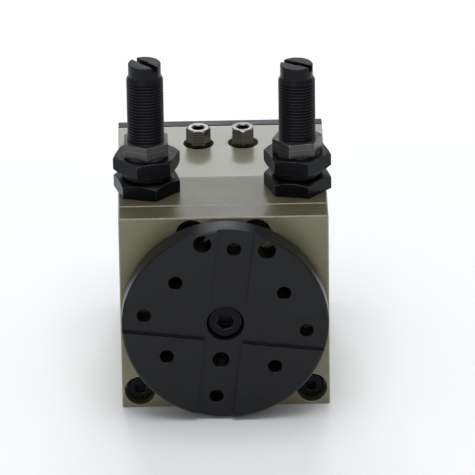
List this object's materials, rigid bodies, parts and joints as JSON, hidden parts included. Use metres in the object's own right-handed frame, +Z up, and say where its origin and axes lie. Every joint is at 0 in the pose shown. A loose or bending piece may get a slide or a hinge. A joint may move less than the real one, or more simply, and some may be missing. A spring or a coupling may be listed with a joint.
{
  "type": "rotary pneumatic actuator",
  "caption": "Rack-and-pinion rotary pneumatic actuator with a grooved output disc, slotted end-stop absorbers in lock-nutted sleeves and threaded air ports on a block housing.",
  "frame": {"origin": "on the output axis, in the floor of the output disc's cross groove", "axes": "-Y along the output axis out of the disc, +Z up, +X to the right seen from the front"},
  "size_m": [0.0805, 0.1002, 0.1275],
  "materials": {
    "olive_anodised": "satin hard-anodised aluminium",
    "black_anodised": "satin black anodised aluminium",
    "black_oxide": "black oxide steel",
    "grey_steel": "phosphated steel",
    "nickel": "bright nickel plate",
    "steel": "ground steel",
    "hard_chrome": "hard chrome",
    "aluminium": "machined",
    "rubber": "nitrile rubber",
    "polymer": "filled PTFE"
  },
  "bodies": {
    "housing": {"front_plate": "olive_anodised", "front_housing": "olive_anodised", "rear_housing": "olive_anodised", "cover_gasket": "rubber", "rear_cover": "black_anodised", "axis_cap": "black_anodised", "cover_screws": "black_oxide", "housing_screws": "black_oxide", "gallery_plugs": "black_oxide", "shaft_seal": "rubber", "front_bearing_outer": "steel", "rear_bearing_outer": "steel", "bore_plugs": "aluminium", "plug_seals": "rubber", "plug_rings": "steel", "stop_sleeve_left": "black_oxide", "sleeve_nut_left": "black_oxide", "absorber_nut_left": "grey_steel", "absorber_left": "black_oxide", "port_fitting_left": "nickel", "stop_sleeve_right": "black_oxide", "sleeve_nut_right": "black_oxide", "absorber_nut_right": "grey_steel", "absorber_right": "black_oxide", "port_fitting_right": "nickel"},
    "output": {"output_disc": "black_anodised", "centre_screw": "black_oxide", "disc_dowel": "steel", "output_shaft": "steel", "stop_arm": "steel", "stop_pads": "steel", "arm_key": "steel", "shaft_rings": "steel", "bearing_spacer": "steel", "front_bearing_inner": "steel", "rear_bearing_inner": "steel"},
    "front_cage": {"front_bearing_balls": "steel", "front_bearing_cage": "polymer"},
    "rear_cage": {"rear_bearing_balls": "steel", "rear_bearing_cage": "polymer"},
    "piston_left": {"rack_piston_left": "aluminium", "piston_seal_left": "rubber", "guide_rings_left": "polymer"},
    "plunger_left": {"absorber_plunger_left": "hard_chrome"},
    "piston_right": {"rack_piston_right": "aluminium", "piston_seal_right": "rubber", "guide_rings_right": "polymer"},
    "plunger_right": {"absorber_plunger_right": "hard_chrome"}
  },
  "joints": [
    {"name": "output_spin", "type": "hinge", "parent": "housing", "child": "output", "pos_m": [0, 0, 0], "axis": [0, -1, 0], "range_deg": [-83.1, 96.9]},
    {"name": "piston_left_slide", "type": "slide", "parent": "housing", "child": "piston_left", "axis": [0, 0, 1], "range_m": [-0.01015, 0.0087]},
    {"name": "plunger_left_slide", "type": "slide", "parent": "housing", "child": "plunger_left", "axis": [0, 0, 1], "range_m": [-0.00431, 0.00369]},
    {"name": "piston_right_slide", "type": "slide", "parent": "housing", "child": "piston_right", "axis": [0, 0, 1], "range_m": [-0.0087, 0.01015]},
    {"name": "plunger_right_slide", "type": "slide", "parent": "housing", "child": "plunger_right", "axis": [0, 0, 1], "range_m": [-0.00369, 0.00431]},
    {"name": "front_cage_spin", "type": "hinge", "parent": "housing", "child": "front_cage", "pos_m": [0, 0, 0], "axis": [0, -1, 0], "range_deg": [-35.97, 41.94]},
    {"name": "rear_cage_spin", "type": "hinge", "parent": "housing", "child": "rear_cage", "pos_m": [0, 0, 0], "axis": [0, -1, 0], "range_deg": [-33.25, 38.77]}
  ],
  "couplings": [
    {"joint": "piston_left_slide", "follows": "output_spin", "m_per_rad": -0.006},
    {"joint": "plunger_left_slide", "follows": "output_spin", "m_per_rad": -0.0025465},
    {"joint": "piston_right_slide", "follows": "output_spin", "m_per_rad": 0.006},
    {"joint": "plunger_right_slide", "follows": "output_spin", "m_per_rad": 0.0025465},
    {"joint": "front_cage_spin", "follows": "output_spin", "ratio": 0.43269},
    {"joint": "rear_cage_spin", "follows": "output_spin", "ratio": 0.4}
  ]
}
